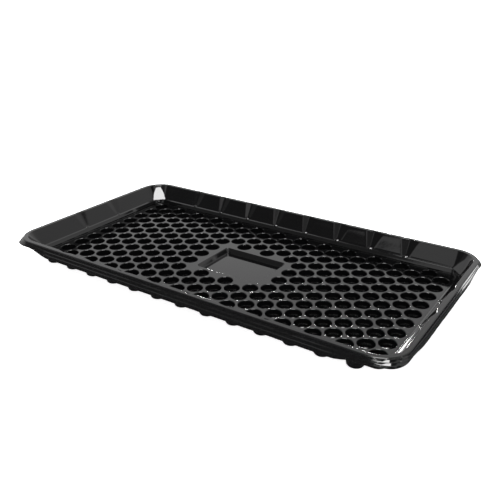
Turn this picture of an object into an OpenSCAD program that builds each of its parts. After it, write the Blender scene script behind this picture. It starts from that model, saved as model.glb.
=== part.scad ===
// Shallow vacuum-formed propagation tray that carries a clear humidity dome on its rim.
// The tray is one formed sheet. Its zones are separate solids that meet face to face at the
// sheet's own form lines: cup fields, centre pad, curbs, wall panels, flutes, corners, rim, skirt.
// Origin: on the surface the tray stands on, under its centre. X is the long way, Z is up.

/* [Overall] */
// Length over the bottom edge of the skirt
tray_l = 543; // [540:1:560]
// Width over the bottom edge of the skirt
tray_w = 292; // [290:1:310]
// Thickness of the formed sheet
sheet_t = 1.0; // [0.8:0.1:1.4]

/* [Cups] */
// Distance from one column of cups to the next
column_pitch = 18.6; // [18.5:0.05:18.7]
// Distance from one cup to the next in a column
cup_pitch = 24.5; // [24.4:0.05:24.6]
// Diameter of a cup's mouth
cup_mouth_d = 20.4; // [19:0.1:20.4]
// Diameter of the flat under a cup
cup_foot_d = 14.4; // [12:0.1:14.4]
// Depth of a cup, from the web's top to the surface the tray stands on
cup_depth = 12; // [11:0.5:16]

/* [Centre pad] */
// Length of the pad's recess
pad_l = 94; // [80:1:96]
// Width of the pad's recess
pad_w = 68.6; // [60:0.2:69]
// Depth of the pad's recess
pad_depth = 6.5; // [4:0.5:8]

/* [Walls] */
// Rise of the rim above the web
wall_rise = 27; // [25:0.5:32]
// Distance the wall leans out, from the web's edge to the rim's outer edge
wall_run = 23; // [22.5:0.1:24]
// Inside radius of the floor's corners
floor_r = 10; // [8:0.5:12]
// Height of the curb around the floor
curb_h = 6.5; // [5:0.5:8]

/* [Flutes] */
// Distance from one flute to the next on a long wall
long_flute_pitch = 50; // [46:0.5:52]
// Distance from one flute to the next on a short wall
short_flute_pitch = 64; // [56:1:70]
// Width of a flute at the rim
flute_top_w = 22.5; // [20:0.5:28]
// Width of a flute at its foot
flute_foot_w = 8.5; // [7:0.5:18]
// Depth of a flute at the rim
flute_depth = 2.3; // [1.5:0.1:2.8]

/* [Rim and skirt] */
// Width of the flat rim that the dome stands on
rim_w = 6; // [5.5:0.1:6.5]
// Height of the turned-down skirt, rim included, along the long sides
skirt_h = 15; // [13:0.5:16]
// Height of the skirt, rim included, along the short sides
end_skirt_h = 12.5; // [11:0.5:13]
// Height of the skirt, rim included, round the corners
corner_skirt_h = 7.5; // [7:0.5:10]
// Distance the skirt spreads outward from the rim to its bottom edge
skirt_flare = 1.5; // [0.9:0.3:2.1]
// Further spread of the bottom edge in the middle of a corner
corner_flare = 5; // [0:0.5:5]

/* [Hidden] */
SIDES = ["front", "rear", "left", "right"];
CORNERS = ["front_left", "front_right", "rear_left", "rear_right"];
$fn = 64;

web_z = cup_depth;
web_underside = web_z - sheet_t;
rim_z = web_z + wall_rise;
rim_underside = rim_z - sheet_t;

// Half sizes of the floor inside the walls
floor_x = tray_l / 2 - skirt_flare - wall_run;
floor_y = tray_w / 2 - skirt_flare - wall_run;
// Half lengths of the straight runs between the corners
straight_x = floor_x - floor_r;
straight_y = floor_y - floor_r;

// Cup grid: odd and even columns are staggered by half a pitch
column_count = 26;
full_column_cups = 10;
short_column_cups = 9;
field_columns = 10;
lip_drop = 0.6;
lip_run = 0.6;
cup_foot_bevel = 1.6;
// Where three cups meet, the land's centre lies this far from the nearer column
near_land_x = (column_pitch * column_pitch - cup_pitch * cup_pitch / 4) / (2 * column_pitch);
far_land_x = column_pitch - near_land_x;
// Half width of the band across the middle that has no cups
pad_band_y = 36.5;
pad_wall_run = 3;
// Reach of cutting shapes past the solids they trim
over = 1;

// The wall's inner line, as distance out from the floor's edge and height above the web
curb_run = 2.5;
shelf_run = 2;
shelf_rise = 0.8;
head_drop = 2;
head_run = 1;
foot_o = curb_run + shelf_run;
foot_h = curb_h + shelf_rise;
head_o = wall_run - rim_w - head_run;
rim_o = wall_run - rim_w;
// Thickness of the leaning sheet measured level, against its true thickness
lean_factor = 1.2;
lean_t = sheet_t * lean_factor;
// The skirt falls in bands; each leans out by this share of its step, and its ledge by the rest
skirt_steps = 3;
band_lean = 0.4;
skirt_ledge = 0.4;
// Length at each end of a side over which the skirt grows from its corner height to its full one
skirt_taper = 36;
taper_parts = 4;
corner_parts = 12;

// ---- Facts about a side, by its name

function is_long(side) = side == "front" || side == "rear";
function side_turn(side) = side == "front" ? 180 : side == "rear" ? 0 : side == "left" ? 90 : -90;
function side_reach(side) = is_long(side) ? floor_y : floor_x;
function side_straight(side) = is_long(side) ? straight_x : straight_y;
function flute_count(side) = is_long(side) ? 8 : 2;
function flute_pitch(side) = is_long(side) ? long_flute_pitch : short_flute_pitch;
// Place along the side of flute i, counted from 1
function flute_at(side, i) = (i - (flute_count(side) + 1) / 2) * flute_pitch(side);
function side_skirt_h(side) = is_long(side) ? skirt_h : end_skirt_h;
// Half width of a flute at height h above the web
function flute_half_w(h) =
    (flute_foot_w + (flute_top_w - flute_foot_w) * (h - foot_h) / (wall_rise - foot_h)) / 2;

// ---- Outlines of the sheet, as points [distance out from the floor's edge, height]

function curb_outline() = [
    [0, web_underside], [0, web_z],
    [curb_run, web_z + curb_h], [foot_o, web_z + foot_h],
    [foot_o, web_z + foot_h - lean_t], [curb_run + sheet_t, web_z + curb_h - sheet_t],
    [sheet_t, web_underside]
];
// depth moves the sheet outward at the rim, and not at all at its foot
function panel_outline(depth = 0) = [
    [foot_o, web_z + foot_h - lean_t], [foot_o, web_z + foot_h],
    [head_o + depth, rim_z - head_drop], [rim_o + depth, rim_z],
    [rim_o + depth, rim_underside], [rim_o + depth + head_run, rim_underside],
    [head_o + depth + lean_t, rim_z - head_drop - sheet_t / 4],
    [foot_o + lean_t, web_z + foot_h - sheet_t / 2]
];
function rim_outline() = [
    [rim_o, rim_underside], [rim_o, rim_z],
    [wall_run - sheet_t / 2, rim_z], [wall_run, rim_z - sheet_t / 2], [wall_run, rim_underside]
];
// The skirt's outer line steps out by a small ledge at each third of its height
function skirt_line(height, flare) = [
    for (k = [0 : skirt_steps - 1]) each [
        [wall_run + k * flare / skirt_steps, rim_underside - k * height / skirt_steps
            - (k == 0 ? 0 : skirt_ledge)],
        [wall_run + (k + band_lean) * flare / skirt_steps,
            rim_underside - (k + 1) * height / skirt_steps]
    ],
    [wall_run + flare, rim_underside - height - skirt_ledge]
];
function skirt_outline(total_h, flare) =
    let (line = skirt_line(total_h - sheet_t - skirt_ledge, flare)) concat(
        line,
        [for (k = [len(line) - 1 : -1 : 0]) line[k] - [sheet_t, 0]]
    );

// ---- Placing shapes on the four sides and corners

// Turns a shape drawn on the rear wall onto the named side
module on_side(side) {
    rotate([0, 0, side_turn(side)]) children();
}

// Runs an outline along a side, from s0 to s1
module along_side(side, outline, s0, s1) {
    on_side(side)
        translate([s0, side_reach(side), 0])
            rotate([90, 0, 90])
                linear_extrude(s1 - s0) polygon(outline);
}

// Mirrors a shape drawn at the rear right corner onto the named corner
module at_corner(corner) {
    is_left = corner == "front_left" || corner == "rear_left";
    is_front = corner == "front_left" || corner == "front_right";
    mirror([is_left ? 1 : 0, 0, 0]) mirror([0, is_front ? 1 : 0, 0]) children();
}

// Sweeps an outline round a corner
module round_corner(corner, outline) {
    at_corner(corner)
        translate([straight_x, straight_y, 0])
            rotate_extrude(angle = 90) translate([floor_r, 0]) polygon(outline);
}

// Solid through a row of closed sections that all have the same number of points
module loft(sections) {
    n = len(sections[0]);
    last = len(sections) - 1;
    strips = [for (row = [0 : last - 1], k = [0 : n - 1]) each [
        [row * n + k, row * n + (k + 1) % n, (row + 1) * n + k],
        [row * n + (k + 1) % n, (row + 1) * n + (k + 1) % n, (row + 1) * n + k]
    ]];
    polyhedron([for (section = sections) each section], concat(
        strips,
        [[for (k = [n - 1 : -1 : 0]) k]],
        [[for (k = [0 : n - 1]) last * n + k]]
    ));
}

module black_sheet() {
    color([0.06, 0.06, 0.065]) children();
}

// ---- Floor

function column_x(i) = (i - (column_count - 1) / 2) * column_pitch;
function cups_in(i) = i % 2 == 0 ? full_column_cups : short_column_cups;
function cup_y(i, j) = (j - (cups_in(i) - 1) / 2) * cup_pitch;

// Wavy border just past column i, from the front of the floor to the rear
function column_border(i) = i < 0 || i >= column_count - 1
    ? [for (y_sign = [-1, 1]) [(i < 0 ? -1 : 1) * (floor_x + over), y_sign * (floor_y + over)]]
    : [for (k = [-full_column_cups : full_column_cups])
        [column_x(i) + ((k + i) % 2 == 0 ? near_land_x : far_land_x), k * cup_pitch / 2]];

function reversed(list) = [for (k = [len(list) - 1 : -1 : 0]) list[k]];

module floor_outline() {
    square([2 * straight_x, 2 * floor_y], center = true);
    square([2 * floor_x, 2 * straight_y], center = true);
    for (x_sign = [-1, 1], y_sign = [-1, 1])
        translate([x_sign * straight_x, y_sign * straight_y]) circle(floor_r);
}

// Floor between the borders past columns first - 1 and last, and between y0 and y1
module floor_zone(first, last, y0, y1) {
    intersection() {
        floor_outline();
        polygon(concat(column_border(first - 1), reversed(column_border(last))));
        translate([-floor_x, y0]) square([2 * floor_x, y1 - y0]);
    }
}

module cup() {
    mouth_r = cup_mouth_d / 2;
    foot_r = cup_foot_d / 2;
    rotate_extrude() polygon([
        [0, 0], [foot_r, 0], [foot_r + cup_foot_bevel, cup_foot_bevel],
        [mouth_r + sheet_t / 2, web_underside], [mouth_r, web_underside], [mouth_r, web_z],
        [mouth_r - lip_run, web_z - lip_drop],
        [foot_r + cup_foot_bevel - sheet_t, cup_foot_bevel + sheet_t / 2],
        [foot_r - lip_run, sheet_t], [0, sheet_t]
    ]);
}

// Web of columns first to last between y0 and y1, with every cup that fits in it
module cup_field(first, last, y0, y1) {
    cup_r = cup_mouth_d / 2;
    places = [for (i = [first : last]) for (j = [0 : cups_in(i) - 1])
        if (cup_y(i, j) - cup_r > y0 && cup_y(i, j) + cup_r < y1) [column_x(i), cup_y(i, j)]];
    black_sheet() {
        translate([0, 0, web_underside])
            linear_extrude(sheet_t) difference() {
                floor_zone(first, last, y0, y1);
                for (place = places) translate(place) circle(d = cup_mouth_d);
            }
        for (place = places) translate(place) cup();
    }
}

module frustum(l, w, run, z_low, z_high) {
    function level(inset, z) = [for (q = [[-1, -1], [1, -1], [1, 1], [-1, 1]])
        [q.x * (l / 2 - inset), q.y * (w / 2 - inset), z]];
    polyhedron(
        concat(level(run, z_low), level(0, z_high)),
        [[0, 1, 2, 3], [7, 6, 5, 4], [0, 4, 5, 1], [1, 5, 6, 2], [2, 6, 7, 3], [3, 7, 4, 0]]
    );
}

module centre_pad() {
    black_sheet() difference() {
        union() {
            translate([0, 0, web_underside]) linear_extrude(sheet_t)
                floor_zone(field_columns, column_count - field_columns - 1, -pad_band_y, pad_band_y);
            frustum(pad_l + sheet_t, pad_w + sheet_t, pad_wall_run,
                web_z - pad_depth - sheet_t, web_underside + sheet_t / 2);
        }
        frustum(pad_l, pad_w, pad_wall_run, web_z - pad_depth, web_z);
        translate([0, 0, web_z]) linear_extrude(over) square([pad_l, pad_w], center = true);
    }
}

// ---- Walls

module curb(side) {
    black_sheet() along_side(side, curb_outline(), -side_straight(side), side_straight(side));
}

// Panel i of a side stands between flutes i - 1 and i; the end panels reach the corners
module wall_panel(side, i) {
    is_first = i == 1;
    is_last = i == flute_count(side) + 1;
    function end_s(sign, h) = sign < 0
        ? (is_first ? -side_straight(side) : flute_at(side, i - 1) + flute_half_w(h))
        : (is_last ? side_straight(side) : flute_at(side, i) - flute_half_w(h));
    h_low = curb_h - lean_t;
    black_sheet() intersection() {
        along_side(side, panel_outline(), -side_straight(side), side_straight(side));
        on_side(side) rotate([90, 0, 0])
            translate([0, 0, -side_reach(side) - wall_run]) linear_extrude(wall_run) polygon([
                [end_s(-1, h_low), web_z + h_low], [end_s(1, h_low), web_z + h_low],
                [end_s(1, wall_rise), rim_z], [end_s(-1, wall_rise), rim_z]
            ]);
    }
}

// One flute: the wall's sheet pushed out to a rounded vee that fades to nothing at its foot
module flute(side, s) {
    function edge(sign) = [for (p = panel_outline())
        [s + sign * flute_half_w(p.y - web_z), side_reach(side) + p.x, p.y]];
    valley = [for (p = panel_outline(flute_depth)) [s, side_reach(side) + p.x, p.y]];
    loft([edge(-1), valley, edge(1)]);
}

module flutes(side) {
    black_sheet() on_side(side)
        for (i = [1 : flute_count(side)]) flute(side, flute_at(side, i));
}

module wall_corner(corner) {
    black_sheet() {
        round_corner(corner, curb_outline());
        round_corner(corner, panel_outline());
    }
}

// ---- Rim and skirt

// The rim is cut back where each flute runs out at its inner edge
module rim_side(side) {
    black_sheet() difference() {
        along_side(side, rim_outline(), -side_straight(side), side_straight(side));
        on_side(side) for (i = [1 : flute_count(side)])
            translate([flute_at(side, i), side_reach(side) + rim_o, rim_underside - over])
                linear_extrude(sheet_t + 2 * over) polygon([
                    [-flute_top_w / 2, 0], [0, flute_depth], [flute_top_w / 2, 0]
                ]);
    }
}

module rim_corner(corner) {
    black_sheet() round_corner(corner, rim_outline());
}

module skirt_side(side) {
    half = side_straight(side) - skirt_taper;
    black_sheet() along_side(side, skirt_outline(side_skirt_h(side), skirt_flare), -half, half);
}

// The skirt of a corner reaches along both sides while it grows to their full heights
module skirt_corner(corner) {
    function height(full, t) = corner_skirt_h + (full - corner_skirt_h) * t * t * (3 - 2 * t);
    along_rear = [for (k = [0 : taper_parts - 1]) let (t = 1 - k / taper_parts)
        [for (p = skirt_outline(height(skirt_h, t), skirt_flare))
            [straight_x - skirt_taper * t, floor_y + p.x, p.y]]];
    round_bend = [for (k = [0 : corner_parts]) let (a = 90 - 90 * k / corner_parts)
        [for (p = skirt_outline(corner_skirt_h, skirt_flare + corner_flare * pow(sin(2 * a), 2)))
            [straight_x + (floor_r + p.x) * cos(a), straight_y + (floor_r + p.x) * sin(a), p.y]]];
    along_right = [for (k = [1 : taper_parts]) let (t = k / taper_parts)
        [for (p = skirt_outline(height(end_skirt_h, t), skirt_flare))
            [floor_x + p.x, straight_y - skirt_taper * t, p.y]]];
    black_sheet() at_corner(corner) loft(concat(along_rear, round_bend, along_right));
}

// ---- Nodes

last_column = column_count - 1;
middle = [field_columns, last_column - field_columns];

cup_field(0, middle[0] - 1, -floor_y, floor_y);  // cup_field_left
cup_field(middle[1] + 1, last_column, -floor_y, floor_y);  // cup_field_right
cup_field(middle[0], middle[1], -floor_y, -pad_band_y);  // cup_field_front
cup_field(middle[0], middle[1], pad_band_y, floor_y);  // cup_field_rear
centre_pad();
for (side = SIDES) {
    curb(side);
    for (i = [1 : flute_count(side) + 1])
        wall_panel(side, i);
    flutes(side);
    rim_side(side);
    skirt_side(side);
}
for (corner = CORNERS) {
    wall_corner(corner);
    rim_corner(corner);
    skirt_corner(corner);
}
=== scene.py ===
"""Looks of a shallow vacuum-formed tray that carries a humidity dome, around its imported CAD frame.

The tray is one formed sheet. Its upper surface is laid out once, with every bend rounded, so that
reflections run on from one zone to the next. Each zone is then given the sheet's thickness and
becomes the piece that stands for the CAD node of the same name.
Lengths are in millimetres until a piece is made, heights are above the web, and `out` is the
distance outward from the floor's edge. `s` is the place along a side, 0 at its middle.
"""

import math

import bmesh
import bpy
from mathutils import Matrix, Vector
from mathutils.geometry import delaunay_2d_cdt


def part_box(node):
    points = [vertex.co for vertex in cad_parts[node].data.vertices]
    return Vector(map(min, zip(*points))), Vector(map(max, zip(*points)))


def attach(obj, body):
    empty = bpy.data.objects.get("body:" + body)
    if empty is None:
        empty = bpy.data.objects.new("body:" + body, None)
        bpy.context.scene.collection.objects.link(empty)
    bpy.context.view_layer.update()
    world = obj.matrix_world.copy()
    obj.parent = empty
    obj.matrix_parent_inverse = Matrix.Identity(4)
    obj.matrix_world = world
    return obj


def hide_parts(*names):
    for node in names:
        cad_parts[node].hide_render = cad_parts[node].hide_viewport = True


MM = 0.001
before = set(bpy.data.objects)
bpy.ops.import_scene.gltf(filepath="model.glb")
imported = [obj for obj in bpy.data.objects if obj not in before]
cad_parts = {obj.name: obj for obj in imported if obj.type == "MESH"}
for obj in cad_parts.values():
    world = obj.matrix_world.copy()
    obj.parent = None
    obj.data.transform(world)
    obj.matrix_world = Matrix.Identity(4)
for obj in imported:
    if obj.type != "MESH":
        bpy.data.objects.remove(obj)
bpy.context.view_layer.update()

# ---- Sizes, read from the CAD nodes where a node's box gives them


def low_mm(node, axis):
    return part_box(node)[0][axis] / MM


def high_mm(node, axis):
    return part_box(node)[1][axis] / MM


X, Y, Z = 0, 1, 2
STRAIGHT_X = high_mm("front_curb", X)
STRAIGHT_Y = high_mm("right_curb", Y)
FLOOR_X = low_mm("right_curb", X)
FLOOR_Y = low_mm("rear_curb", Y)
FLOOR_R = FLOOR_X - STRAIGHT_X
WEB_Z = high_mm("cup_field_left", Z)
RIM_H = high_mm("rim_rear", Z) - WEB_Z
RIM_OUT = low_mm("rim_left", X) * -1 - FLOOR_X
RIM_W = 6.0
RIM_IN = RIM_OUT - RIM_W
SHEET_T = 1.0

# Skirt: it hangs in bands, each with a small ledge at its foot, and is lower round the corners
SKIRT_OUT = high_mm("skirt_right", X) - FLOOR_X
SKIRT_H = {"rear": 15.0, "front": 15.0, "left": 12.5, "right": 12.5}
SKIRT_BANDS = 3
SKIRT_TAPER = 36.0
LEDGE = 0.5
# A band's line as shares of its spread and its height, and a ledge's line as shares of the ledge's
# width and the band's height. The last band ends without a ledge.
BAND_LINE = [(0.1, 0.3), (1, 0.8)]
LAST_BAND_LINE = [(0.1, 0.3), (1, 1)]
LEDGE_LINE = [(0.2, 0.87), (0.8, 0.93), (1, 1)]
CORNER_SKIRT_H = 7.5
CORNER_FLARE = 5.0

# Cup grid, and a cup's line inward and down as (distance from its axis, height, rounding radius)
COLUMNS = 26
COLUMN_PITCH = 18.6
CUP_PITCH = 24.5
LONG_COLUMN_CUPS = 10
SHORT_COLUMN_CUPS = 9
FIELD_COLUMNS = 10
PAD_BAND_Y = 36.5
CUP_SIDES = 48
CUP_LINE = [(11.6, 0, 0), (9.85, 0, 0.9), (8.35, SHEET_T - WEB_Z, 2.3), (0, SHEET_T - WEB_Z, 0)]

# Pad recess: half sizes and corner radius at the web, and its line inward and down
PAD_HALF = (47.0, 34.3)
PAD_R = 4.0
PAD_LEAST_R = 0.8
PAD_CORNER_STEPS = 8
PAD_LINE = [(-2, 0, 0), (0, 0, 1.1), (3.0, -6.5, 1.3), (5.5, -6.5, 0)]

# The wall's line from the floor to the rim, as (out, height, rounding radius).
# The four points without a radius lie along the curb's top, where the swells need them.
FOOT_H = 7.3
WALL_FOOT_OUT = 4.5
HEAD_H = RIM_H - 2
WALL_LINE = [
    (-2.2, 0, 0),
    (0, 0, 0.4),
    (0.35, 2.2, 0.3),
    (1.05, 3.9, 0.3),
    (2.0, 6.6, 0.5),
    (2.6, 6.77, 0),
    (3.1, 6.91, 0),
    (3.6, 7.05, 0),
    (4.1, 7.19, 0),
    (WALL_FOOT_OUT, FOOT_H, 0.6),
    (RIM_IN, RIM_H, 1.1),
    (RIM_OUT, RIM_H, 1.2),
    (RIM_OUT, RIM_H - 2.5, 0),
]
# Places of the further points on the wall's face, as shares of its length: closer near its ends
FACE_SHARES = (0.025, 0.05, 0.075, 0.1, 0.13, 0.2, 0.3, 0.4, 0.5, 0.6, 0.7, 0.8, 0.87, 0.92, 0.96)

# Flutes: how many stand on a side and how far apart, then the sizes of one
FLUTES = {"front": (8, 50.0), "rear": (8, 50.0), "left": (2, 64.0), "right": (2, 64.0)}
FLUTE_FOOT_HALF = 4.25
FLUTE_HEAD_HALF = 11.25
FLUTE_DEPTH = 2.3
# Its rounded edges and rounded valley, as shares of its half width
FLUTE_EDGE = 0.12
FLUTE_VALLEY = 0.2
# Places across half a flute, as shares of its half width
FLUTE_SHARES = (0, 0.1, 0.2, 0.4, 0.65, 1 - FLUTE_EDGE, 1, 1 + FLUTE_EDGE)
# Each flute ends on the curb in a small swell, part of a ball with its centre at (out, height)
SWELL_CENTRE = (6.9, 4.1)
SWELL_R = 5.0

# Each panel is dished very slightly inside a plain margin
DISH_DEPTH = 0.15
DISH_MARGIN = 1.5
DISH_SLOPE = 0.8
DISH_PARTS = 6

# A flat gusset spans each wall corner: its distance from the bend's centre, as (height, distance)
GUSSET_LINE = [(0, 9.8), (FOOT_H, 10.5), (23.0, 24.7)]
CORNER_STEPS = 24

# Each side's turn in degrees from the rear one, and the signs of each corner's X and Y
SIDES = {"rear": 0, "right": -90, "front": 180, "left": 90}
CORNERS = {
    "rear_right": (1, 1),
    "front_right": (1, -1),
    "front_left": (-1, -1),
    "rear_left": (-1, 1),
}

# Distances closer than this are taken as none, and a normal this upright as straight up
WELD_REACH = 0.004
LEAST_EDGE = 0.002
LEVEL = 1e-4
UPRIGHT = 0.99999


# ---- Lines with rounded corners


def rounded(line, steps=4):
    """Points of a line of (a, b, radius) corners, with each corner turned into an arc."""
    points = []
    for k, (a, b, radius) in enumerate(line):
        here = Vector((a, b))
        if radius == 0 or k in (0, len(line) - 1):
            points.append(here)
            continue
        back = (Vector(line[k - 1][:2]) - here).normalized()
        ahead = (Vector(line[k + 1][:2]) - here).normalized()
        half = math.acos(max(-1, min(1, back.dot(ahead)))) / 2
        centre = here + (back + ahead).normalized() * radius / math.sin(half)
        reach = radius / math.tan(half)
        start = here + back * reach - centre
        turn = math.pi - 2 * half
        side = 1 if back.cross(ahead) < 0 else -1
        for s in range(steps + 1):
            angle = side * turn * s / steps
            c, v = math.cos(angle), math.sin(angle)
            points.append(centre + Vector((start.x * c - start.y * v, start.x * v + start.y * c)))
    return points


def smooth(t):
    """Eases from 0 to 1 as t does, and stays there outside."""
    t = max(0.0, min(1.0, t))
    return t * t * (3 - 2 * t)


# ---- The upper surface of the whole sheet


class Sheet:
    """Faces of the sheet's upper surface, each with the name of its zone."""

    def __init__(self):
        self.bm = bmesh.new()
        self.zone_layer = self.bm.faces.layers.int.new("zone")
        self.zones = []

    def face(self, zone, corners):
        if zone not in self.zones:
            self.zones.append(zone)
        verts = [self.bm.verts.new(c) for c in corners]
        self.bm.faces.new(verts)[self.zone_layer] = self.zones.index(zone)

    def grid(self, rows, zone_of):
        """Quads between neighbouring rows of points; zone_of(row, place) names each quad's zone."""
        for r, (near, far) in enumerate(zip(rows, rows[1:])):
            for p in range(len(near) - 1):
                self.face(zone_of(r, p), [near[p], near[p + 1], far[p + 1], far[p]])

    def rings(self, zone, loops):
        """Quads between neighbouring closed loops of points, all in one zone."""
        self.grid([loop + loop[:1] for loop in loops], lambda r, p: zone)

    def weld(self):
        bmesh.ops.remove_doubles(self.bm, verts=self.bm.verts, dist=WELD_REACH)
        bmesh.ops.dissolve_degenerate(self.bm, edges=self.bm.edges, dist=LEAST_EDGE)
        self.bm.verts.index_update()


sheet = Sheet()


# ---- Walls, rim and skirt


def with_face_points(line):
    """Adds points to the longest straight of the wall's line, which is its face."""
    k = max(range(len(line) - 1), key=lambda k: (line[k + 1] - line[k]).length)
    added = [line[k].lerp(line[k + 1], share) for share in FACE_SHARES]
    return line[: k + 1] + added + line[k + 1:]


WALL_TOP = with_face_points(rounded(WALL_LINE)[:-1])


def wall_rows(skirt_h, flare=0.0):
    """The line from floor to skirt foot, as (out, height); flare spreads the skirt's foot further."""
    top = WALL_TOP[-1]
    band = (top.y - (RIM_H - skirt_h)) / SKIRT_BANDS
    spread = (SKIRT_OUT + flare - RIM_OUT - LEDGE * (SKIRT_BANDS - 1)) / SKIRT_BANDS
    points = list(WALL_TOP)
    for k in range(SKIRT_BANDS):
        start = Vector((top.x + k * (spread + LEDGE), top.y - k * band))
        if k == SKIRT_BANDS - 1:
            points += [start + Vector((spread * a, -band * b)) for a, b in LAST_BAND_LINE]
        else:
            points += [start + Vector((spread * a, -band * b)) for a, b in BAND_LINE]
            points += [start + Vector((spread + LEDGE * a, -band * b)) for a, b in LEDGE_LINE]
    return points


def parts_of_line():
    """The part of the wall that each step of its line belongs to, told by the step's middle."""
    rim_bend = 0.45
    skirt_top = RIM_H - 1.1
    skirt_in = RIM_OUT - 0.6
    rows = wall_rows(SKIRT_H["rear"])
    parts = []
    for a, b in zip(rows, rows[1:]):
        out, height = (a + b) / 2
        if out < WALL_FOOT_OUT:
            parts.append("curb")
        elif height < skirt_top and out > skirt_in:
            parts.append("skirt")
        else:
            parts.append("panel" if out < RIM_IN + rim_bend else "rim")
    return parts


LINE_PARTS = parts_of_line()


def climb(out, height):
    """0 at the wall's foot and below, 1 at its head."""
    if out > RIM_IN:
        return 1.0
    return max(0.0, min(1.0, (height - FOOT_H) / (RIM_H - FOOT_H)))


def flute_weight(out, height):
    """How much of a flute's depth a point has: none below the foot or past the rim's middle."""
    below_foot = 0.4
    past_rim_in = 1.0
    short_of_rim_out = 1.3
    fade = 3
    if height < FOOT_H - below_foot:
        return 0.0
    if out <= RIM_IN + past_rim_in:
        foot_share = FLUTE_FOOT_HALF / FLUTE_HEAD_HALF
        rise = min(1.0, max(0.0, height - FOOT_H) / (HEAD_H - FOOT_H))
        return foot_share + (1 - foot_share) * rise
    return smooth((RIM_OUT - short_of_rim_out - out) / fade)


def dish_weight(height):
    """How much of a dish's depth a height on the wall has."""
    foot_margin, foot_fade, head_fade = 0.05, 0.04, 0.35
    share = (height - FOOT_H) / (HEAD_H - FOOT_H)
    return smooth((share - foot_margin) / foot_fade) * smooth((1 - share) / head_fade)


def flute_section(u):
    """A flute's rounded vee: depth share at u, where u is -1 and 1 at its edges."""
    edge, valley = FLUTE_EDGE, FLUTE_VALLEY
    u = abs(u)
    if u >= 1 + edge:
        return 0.0
    if u > 1 - edge:
        return (1 + edge - u) ** 2 / (4 * edge)
    if u < valley:
        return 1 - valley / 2 - u * u / (2 * valley)
    return 1 - u


def flute_centres(side):
    """The flutes' places along a side."""
    count, pitch = FLUTES[side]
    return [(i - (count - 1) / 2) * pitch for i in range(count)]


def stations(side):
    """Places along a side, as (s at the foot, s at the head, flute share, dish share)."""
    end = STRAIGHT_X if side in ("front", "rear") else STRAIGHT_Y
    us = [-u for u in FLUTE_SHARES[:0:-1]] + list(FLUTE_SHARES)
    places = [(-end, -end, 0, 0)]
    for c in flute_centres(side):
        flute = [(c + u * FLUTE_FOOT_HALF, c + u * FLUTE_HEAD_HALF, flute_section(u), 0) for u in us]
        places += panel_places(places[-1], flute[0]) + flute
    return places + panel_places(places[-1], (end, end)) + [(end, end, 0, 0)]


def panel_places(a, b):
    """Places strictly between a and b: plain margins at both ends and a dish between them."""
    places = []
    for inset, dish in ((DISH_MARGIN, 0), (DISH_MARGIN + DISH_SLOPE, 1)):
        places.append((a[0] + inset, a[1] + inset, 0, dish))
        places.append((b[0] - inset, b[1] - inset, 0, dish))
    near, far = places[2], places[3]
    for k in range(1, DISH_PARTS):
        foot, head = (n + (f - n) * k / DISH_PARTS for n, f in zip(near[:2], far[:2]))
        places.append((foot, head, 0, 1))
    return sorted(places)


def turned(side, s, out, z):
    """A point drawn on the rear wall, turned onto the named side."""
    reach = FLOOR_Y if side in ("front", "rear") else FLOOR_X
    angle = math.radians(SIDES[side])
    c, v = math.cos(angle), math.sin(angle)
    y = reach + out
    return (s * c - y * v, s * v + y * c, z)


def with_swell(side, s, out, height):
    """A point of the wall, moved out to the ball of the nearest flute's swell if it lies inside it."""
    c = min(flute_centres(side), key=lambda c: abs(s - c))
    centre = Vector((c, *SWELL_CENTRE))
    away = Vector((s, out, height)) - centre
    return centre + away * max(1.0, SWELL_R / away.length)


def side_column(side, place, skirt_h):
    """The wall's line at one place along a side, with its share of a flute, a dish and a swell."""
    s_foot, s_head, flute, dish = place
    column = []
    for out, height in wall_rows(skirt_h):
        s = s_foot + (s_head - s_foot) * climb(out, height)
        out += flute_weight(out, height) * FLUTE_DEPTH * flute + dish_weight(height) * DISH_DEPTH * dish
        column.append(turned(side, *with_swell(side, s, out, height)))
    return column


def wall_zone(side, s):
    """The panel or the flutes that a place along the wall's foot belongs to."""
    centres = flute_centres(side)
    for i, c in enumerate(centres):
        if abs(s - c) < FLUTE_FOOT_HALF:
            return f"{side}_flutes"
        if s < c:
            return f"{side}_panel_{i + 1}"
    return f"{side}_panel_{len(centres) + 1}"


def build_side(side):
    """Lays out one side's curb, wall, rim and skirt, and returns its line on the floor."""
    places = stations(side)
    end = places[-1][0]
    columns = []
    for place in places:
        t = smooth((end - abs(place[1])) / SKIRT_TAPER)
        skirt_h = CORNER_SKIRT_H + (SKIRT_H[side] - CORNER_SKIRT_H) * t
        columns.append(side_column(side, place, skirt_h))
    grid = [list(row) for row in zip(*columns)]
    names = {"curb": f"{side}_curb", "rim": f"rim_{side}", "skirt": f"skirt_{side}"}

    def zone_of(r, p):
        part = LINE_PARTS[r]
        if part == "panel":
            return wall_zone(side, (places[p][0] + places[p + 1][0]) / 2)
        return names[part]

    sheet.grid(grid, zone_of)
    return grid[0]


def gusset_reach(height):
    """Distance from the bend's centre to the gusset's flat face, or none above its top."""
    for (h0, d0), (h1, d1) in zip(GUSSET_LINE, GUSSET_LINE[1:]):
        if h0 <= height <= h1:
            return d0 + (d1 - d0) * (height - h0) / (h1 - h0)
    return math.inf


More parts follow.
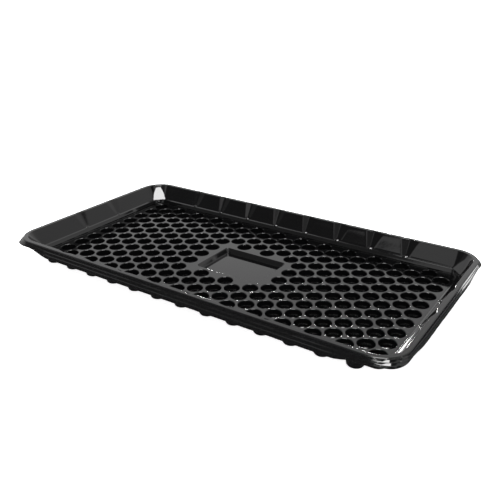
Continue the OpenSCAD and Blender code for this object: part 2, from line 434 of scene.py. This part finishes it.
def build_corner(corner):
    """Lays out one corner's wall, rim and skirt, and returns its line on the floor."""
    x_sign, y_sign = CORNERS[corner]
    diagonal = math.atan2(y_sign, x_sign)
    columns = []
    for k in range(CORNER_STEPS + 1):
        off_diagonal = math.pi / 4 - math.pi / 2 * k / CORNER_STEPS
        angle = diagonal + off_diagonal
        column = []
        for out, height in wall_rows(CORNER_SKIRT_H, CORNER_FLARE * math.sin(2 * angle) ** 2):
            reach = FLOOR_R + out
            if out < RIM_IN:
                reach = min(reach, gusset_reach(height) / math.cos(off_diagonal))
            column.append((
                x_sign * STRAIGHT_X + reach * math.cos(angle),
                y_sign * STRAIGHT_Y + reach * math.sin(angle),
                height,
            ))
        columns.append(column)
    grid = [list(row) for row in zip(*columns)]
    names = {"curb": "wall_corner", "panel": "wall_corner", "rim": "rim_corner", "skirt": "skirt_corner"}
    sheet.grid(grid, lambda r, p: f"{names[LINE_PARTS[r]]}_{corner}")
    return grid[0]


# ---- Floor: cups, pad recess and the flat web between them


def column_x(i):
    return (i - (COLUMNS - 1) / 2) * COLUMN_PITCH


def cup_places():
    """The cups' centres. Columns take turns at being long and short."""
    places = []
    for i in range(COLUMNS):
        cups = LONG_COLUMN_CUPS if i % 2 == 0 else SHORT_COLUMN_CUPS
        for j in range(cups):
            y = (j - (cups - 1) / 2) * CUP_PITCH
            in_middle = FIELD_COLUMNS <= i < COLUMNS - FIELD_COLUMNS
            if not (in_middle and abs(y) < PAD_BAND_Y + CUP_PITCH / 4):
                places.append((column_x(i), y))
    return places


def column_border(i):
    """Wavy border between column i and the next, from the front of the floor to the rear."""
    near = (COLUMN_PITCH**2 - CUP_PITCH**2 / 4) / (2 * COLUMN_PITCH)
    far = COLUMN_PITCH - near
    half_steps = range(-LONG_COLUMN_CUPS, LONG_COLUMN_CUPS + 1)
    return [(column_x(i) + (near if (k + i) % 2 == 0 else far), k * CUP_PITCH / 2) for k in half_steps]


def border_x(i, y):
    """X of the wavy border past column i at a place y."""
    line = column_border(i)
    for (x0, y0), (x1, y1) in zip(line, line[1:]):
        if y0 <= y <= y1:
            return x0 + (x1 - x0) * (y - y0) / (y1 - y0)
    return line[0][0] if y < 0 else line[-1][0]


def floor_zone(x, y):
    """The zone of the floor that a point belongs to."""
    if x < border_x(FIELD_COLUMNS - 1, y):
        return "cup_field_left"
    if x > border_x(COLUMNS - FIELD_COLUMNS - 1, y):
        return "cup_field_right"
    if abs(y) < PAD_BAND_Y:
        return "centre_pad"
    return "cup_field_rear" if y > 0 else "cup_field_front"


def circle_points(x, y, r, z):
    turn = 2 * math.pi / CUP_SIDES
    return [(x + r * math.cos(turn * k), y + r * math.sin(turn * k), z) for k in range(CUP_SIDES)]


def build_cup(zone, x, y):
    """Lays out one cup and returns its mouth."""
    line = rounded(CUP_LINE)[1:]
    loops = [circle_points(x, y, r, z) for r, z in line[:-1]]
    sheet.rings(zone, loops)
    foot = loops[-1] + loops[-1][:1]
    centre = (x, y, line[-1].y)
    for k in range(CUP_SIDES):
        sheet.face(zone, [foot[k], foot[k + 1], centre])
    return loops[0]


def pad_loop(inset, z):
    """Rounded rectangle of the pad recess, moved inward by inset."""
    r = max(PAD_R - inset, PAD_LEAST_R)
    hx, hy = PAD_HALF[0] - inset - r, PAD_HALF[1] - inset - r
    loop = []
    for quarter, (sx, sy) in enumerate(((1, 1), (-1, 1), (-1, -1), (1, -1))):
        for k in range(PAD_CORNER_STEPS + 1):
            angle = math.pi / 2 * (quarter + k / PAD_CORNER_STEPS)
            loop.append((sx * hx + r * math.cos(angle), sy * hy + r * math.sin(angle), z))
    return loop


def build_pad():
    """Lays out the pad recess and returns its mouth."""
    loops = [pad_loop(inset, z) for inset, z in rounded(PAD_LINE)[1:-1]]
    sheet.rings("centre_pad", loops)
    sheet.face("centre_pad", loops[-1])
    return loops[0]


def web_lines(outline, mouths, pad):
    """Points of the flat web, and the edges between them that its faces have to keep."""
    edge_margin = 2
    verts, edges = [], []

    def chain(points, closed=True):
        first = len(verts)
        verts.extend(Vector(p[:2]) for p in points)
        n = len(points)
        edges.extend((first + k, first + (k + 1) % n) for k in range(n if closed else n - 1))

    chain(outline)
    for mouth in mouths:
        chain(mouth)
    chain(pad)
    borders = [FIELD_COLUMNS - 1, COLUMNS - FIELD_COLUMNS - 1]
    for i in borders:
        border = [p for p in column_border(i) if abs(p[1]) < FLOOR_Y - edge_margin]
        chain([(border[0][0], -FLOOR_Y)] + border + [(border[-1][0], FLOOR_Y)], closed=False)
    for y in (-PAD_BAND_Y, PAD_BAND_Y):
        chain([(border_x(borders[0], y), y), (border_x(borders[1], y), y)], closed=False)
    return verts, edges


def build_floor(outline):
    """Fills the flat web inside the outline, round every cup's mouth and the pad recess."""
    cups = cup_places()
    mouths = [build_cup(floor_zone(x, y), x, y) for x, y in cups]
    pad = build_pad()
    verts, edges = web_lines(outline, mouths, pad)
    coords, _, faces, *_ = delaunay_2d_cdt(verts, edges, [], 0, LEVEL)
    slack = 0.02
    mouth_r = rounded(CUP_LINE)[1].x
    mouth_reach = mouth_r * math.cos(math.pi / CUP_SIDES) - slack
    for f in faces:
        x = sum(coords[v].x for v in f) / 3
        y = sum(coords[v].y for v in f) / 3
        near_cups = [cup for cup in cups if abs(x - cup[0]) < COLUMN_PITCH]
        in_cup = any(math.hypot(x - cup_x, y - cup_y) < mouth_reach for cup_x, cup_y in near_cups)
        if inside(x, y, outline) and not in_cup and not in_pad(x, y, pad):
            sheet.face(floor_zone(x, y), [(coords[v].x, coords[v].y, 0) for v in f])


def inside(x, y, loop):
    """Whether a point is inside a closed loop."""
    odd = False
    for (x0, y0, _), (x1, y1, _) in zip(loop, loop[1:] + loop[:1]):
        if (y0 > y) != (y1 > y) and x < x0 + (x1 - x0) * (y - y0) / (y1 - y0):
            odd = not odd
    return odd


def in_pad(x, y, pad):
    margin = 3
    is_near = abs(x) < PAD_HALF[0] + margin and abs(y) < PAD_HALF[1] + margin
    return is_near and inside(x, y, pad)


# ---- From surface to pieces


def vertex_normals(bm):
    """Normals that follow the larger faces round each point, so flats stay flat up to their bends."""
    bm.normal_update()
    normals = []
    for v in bm.verts:
        total = Vector()
        for f in v.link_faces:
            total += f.normal * f.calc_area() ** 2
        if abs(v.co.z) < LEVEL and any(f.normal.z > UPRIGHT for f in v.link_faces):
            total = Vector((0, 0, 1))
        normals.append(total.normalized())
    return normals


def make_piece(zone, faces, points, normals, material):
    """The zone's upper faces, the same faces one sheet thickness below, and the edges between them."""
    ids = sorted({v for f in faces for v in f})
    place = {v: k for k, v in enumerate(ids)}
    n = len(ids)
    tops = [[place[v] for v in f] for f in faces]
    edges = [edge for f in tops for edge in zip(f, f[1:] + f[:1])]
    known = set(edges)
    open_edges = [(a, b) for a, b in edges if (b, a) not in known]
    bottoms = [[v + n for v in reversed(f)] for f in tops]
    rims = [[a, a + n, b + n, b] for a, b in open_edges]
    lift = Vector((0, 0, WEB_Z))
    coords = [(points[v] + lift) * MM for v in ids]
    coords += [(points[v] - normals[v] * SHEET_T + lift) * MM for v in ids]
    mesh = bpy.data.meshes.new(zone)
    mesh.from_pydata(coords, [], tops + bottoms + rims)
    mesh.shade_smooth()
    loop_normals = [normals[ids[v]] for f in tops for v in f]
    loop_normals += [-normals[ids[v - n]] for f in bottoms for v in f]
    for polygon in list(mesh.polygons)[len(tops) + len(bottoms):]:
        loop_normals += [polygon.normal.copy()] * len(polygon.vertices)
    mesh.normals_split_custom_set(loop_normals)
    mesh.materials.append(material)
    piece = bpy.data.objects.new(f"{zone}_skin", mesh)
    bpy.context.scene.collection.objects.link(piece)
    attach(piece, "root")
    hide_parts(zone)


def build_tray(material):
    """Lays out the whole sheet and divides it into its pieces."""
    outline = []
    for side, corner in zip(SIDES, CORNERS):
        outline += build_side(side)[:-1]
        outline += build_corner(corner)[:-1]
    build_floor(outline)
    sheet.weld()
    normals = vertex_normals(sheet.bm)
    points = [v.co.copy() for v in sheet.bm.verts]
    faces = {zone: [] for zone in sheet.zones}
    for f in sheet.bm.faces:
        faces[sheet.zones[f[sheet.zone_layer]]].append([v.index for v in f.verts])
    sheet.bm.free()
    for zone in sheet.zones:
        make_piece(zone, faces[zone], points, normals, material)


# ---- Material


def new_material(name):
    """A new material with its shader node and its node tree."""
    material = bpy.data.materials.new(name)
    material.use_nodes = True
    return material, material.node_tree.nodes["Principled BSDF"], material.node_tree


def noise(tree, place, scale, detail):
    """Noise over the object's own space, from 0 to 1."""
    node = tree.nodes.new("ShaderNodeTexNoise")
    node.inputs["Scale"].default_value = scale
    node.inputs["Detail"].default_value = detail
    tree.links.new(place.outputs["Object"], node.inputs["Vector"])
    return node.outputs["Fac"]


def black_plastic():
    """Glossy black sheet."""
    material, shader, tree = new_material("formed_black_plastic")
    shader.inputs["IOR"].default_value = 1.5
    place = tree.nodes.new("ShaderNodeTexCoord")
    # Faint cloudy change of shade in the black
    shade = tree.nodes.new("ShaderNodeValToRGB")
    shade.color_ramp.elements[0].color = (0.0012, 0.0012, 0.0013, 1)
    shade.color_ramp.elements[1].color = (0.0025, 0.0025, 0.0027, 1)
    tree.links.new(noise(tree, place, scale=14, detail=4), shade.inputs["Fac"])
    tree.links.new(shade.outputs["Color"], shader.inputs["Base Color"])
    # Handling marks make the gloss uneven
    gloss = tree.nodes.new("ShaderNodeMapRange")
    gloss.inputs["To Min"].default_value = 0.04
    gloss.inputs["To Max"].default_value = 0.11
    tree.links.new(noise(tree, place, scale=45, detail=6), gloss.inputs["Value"])
    tree.links.new(gloss.outputs["Result"], shader.inputs["Roughness"])
    # Slight unevenness of a sheet drawn over a mould
    bump = tree.nodes.new("ShaderNodeBump")
    bump.inputs["Strength"].default_value = 0.05
    bump.inputs["Distance"].default_value = 0.0004
    tree.links.new(noise(tree, place, scale=260, detail=3), bump.inputs["Height"])
    tree.links.new(bump.outputs["Normal"], shader.inputs["Normal"])
    return material


# ---- Studio


def toward(azimuth, elevation):
    """Direction at an azimuth, from -Y towards +X, and an elevation, in degrees."""
    a, e = math.radians(azimuth), math.radians(elevation)
    return Vector((math.sin(a) * math.cos(e), -math.cos(a) * math.cos(e), math.sin(e)))


def add_lamp(data, target, azimuth, elevation, distance, power):
    """Hangs a lamp at a distance from its target, in metres, and turns it to face the target."""
    data.energy = power
    lamp = bpy.data.objects.new(data.name, data)
    lamp.location = target + toward(azimuth, elevation) * distance
    lamp.rotation_euler = (target - lamp.location).to_track_quat("-Z", "Y").to_euler()
    bpy.context.scene.collection.objects.link(lamp)


def key_lamp():
    """A large square lamp high at the front right, aimed at the rear left corner."""
    data = bpy.data.lights.new("key", "AREA")
    data.shape = "RECTANGLE"
    data.size = 1.1
    data.size_y = 1.1
    rear_left = Vector((-0.245, 0.12, 0.026))
    add_lamp(data, rear_left, azimuth=48, elevation=64, distance=2.2, power=72)


def low_spots(name, target, azimuths, spread, power):
    """Narrow spots low round the tray, whose light stays on the target."""
    for azimuth in azimuths:
        data = bpy.data.lights.new(name, "SPOT")
        data.spot_size = math.radians(spread)
        data.spot_blend = 0.5
        data.shadow_soft_size = 0.12
        add_lamp(data, target, azimuth, elevation=8, distance=3, power=power)


def pale_floor():
    """The white table, which lights the tray from below but isn't mirrored in it."""
    half_size = 40
    bm = bmesh.new()
    bmesh.ops.create_grid(bm, x_segments=8, y_segments=8, size=half_size)
    mesh = bpy.data.meshes.new("floor")
    bm.to_mesh(mesh)
    bm.free()
    floor = bpy.data.objects.new("floor", mesh)
    bpy.context.scene.collection.objects.link(floor)
    material, shader, _ = new_material("pale_floor")
    shader.inputs["Base Color"].default_value = (0.8, 0.8, 0.8, 1)
    shader.inputs["Roughness"].default_value = 0.9
    shader.inputs["Specular IOR Level"].default_value = 0
    shader.inputs["Emission Color"].default_value = (1, 1, 1, 1)
    shader.inputs["Emission Strength"].default_value = 0.9
    mesh.materials.append(material)
    floor.visible_glossy = False


# Round patches of the studio, each laid over those before it, as (azimuth, elevation, degrees from
# its middle to where it starts to fade, degrees from its middle to its end, brightness)
BELOW_HORIZON = 0.11
STUDIO_PATCHES = [
    # White walls all round, and a dark ceiling
    (0, 90, 86, 92, 0.95),
    (0, 90, 37, 42, 0.05),
    # Grey low on the front wall, mirrored by the rear curb
    (-30, 10, 13, 15, 0.2),
    # Greys high on the front wall, mirrored by the rear flutes
    (-1, 45, 8.5, 10, 0.4),
    (6, 45, 6, 10, 0.22),
    # Pale grey behind, mirrored by the left wall
    (145, 44, 24, 28, 0.75),
    # Dark table behind with one bright spot, mirrored by the right skirt
    (159, -33, 9, 11, 0.02),
    (164, -21.5, 2, 3, 2.5),
    # Small bright window behind, mirrored by the rear curb and the cups
    (204, 54, 3, 4, 1.5),
    # Dark flag at the right, mirrored by the left flutes and the cups
    (102, 44, 8, 11, 0.03),
    # Dark flags at the front left, mirrored by the rear flutes and panels
    (-76, 45, 20, 23, 0.2),
    (-45, 45, 16.5, 18, 0.1),
    (-54, 45, 6.5, 7.5, 0.0),
]


def studio_world():
    """A studio of white and dark patches, fixed in the world's own directions."""
    world = bpy.data.worlds.new("studio")
    world.use_nodes = True
    nodes, links = world.node_tree.nodes, world.node_tree.links
    place = nodes.new("ShaderNodeTexCoord")

    def patch(direction, inner, outer):
        """1 within `inner` degrees of a direction, 0 beyond `outer`."""
        dot = nodes.new("ShaderNodeVectorMath")
        dot.operation = "DOT_PRODUCT"
        dot.inputs[1].default_value = direction
        links.new(place.outputs["Generated"], dot.inputs[0])
        edge = nodes.new("ShaderNodeMapRange")
        edge.interpolation_type = "SMOOTHSTEP"
        edge.inputs["From Min"].default_value = math.cos(math.radians(outer))
        edge.inputs["From Max"].default_value = math.cos(math.radians(inner))
        links.new(dot.outputs["Value"], edge.inputs["Value"])
        return edge.outputs["Result"]

    sky = nodes.new("ShaderNodeRGB").outputs["Color"]
    sky.default_value = (BELOW_HORIZON, BELOW_HORIZON, BELOW_HORIZON, 1)
    for azimuth, elevation, inner, outer, tone in STUDIO_PATCHES:
        mix = nodes.new("ShaderNodeMix")
        mix.data_type = "RGBA"
        under, over, mixed = mix.inputs[6], mix.inputs[7], mix.outputs[2]
        links.new(patch(toward(azimuth, elevation), inner, outer), mix.inputs["Factor"])
        links.new(sky, under)
        over.default_value = (tone, tone, tone, 1)
        sky = mixed
    links.new(sky, nodes["Background"].inputs["Color"])
    bpy.context.scene.world = world


def photo_camera():
    """The view of the photograph, from the near right at about 24 degrees down."""
    data = bpy.data.cameras.new("camera")
    data.lens = 44.6
    data.sensor_width = 36
    data.clip_start = 0.05
    camera = bpy.data.objects.new("camera", data)
    camera.location = (0.4144, -0.6037, 0.3590)
    camera.rotation_euler = (math.radians(65.97), 0, math.radians(33.57))
    bpy.context.scene.collection.objects.link(camera)
    bpy.context.scene.camera = camera


build_tray(black_plastic())
pale_floor()
studio_world()
key_lamp()
low_spots("back", Vector((0.25, -0.1, 0.02)), azimuths=(198, 216), spread=7, power=60)
low_spots("front", Vector((0.26, -0.14, 0.03)), azimuths=(10, 45, 95), spread=5, power=50)
photo_camera()
bpy.context.scene.view_settings.view_transform = "Standard"
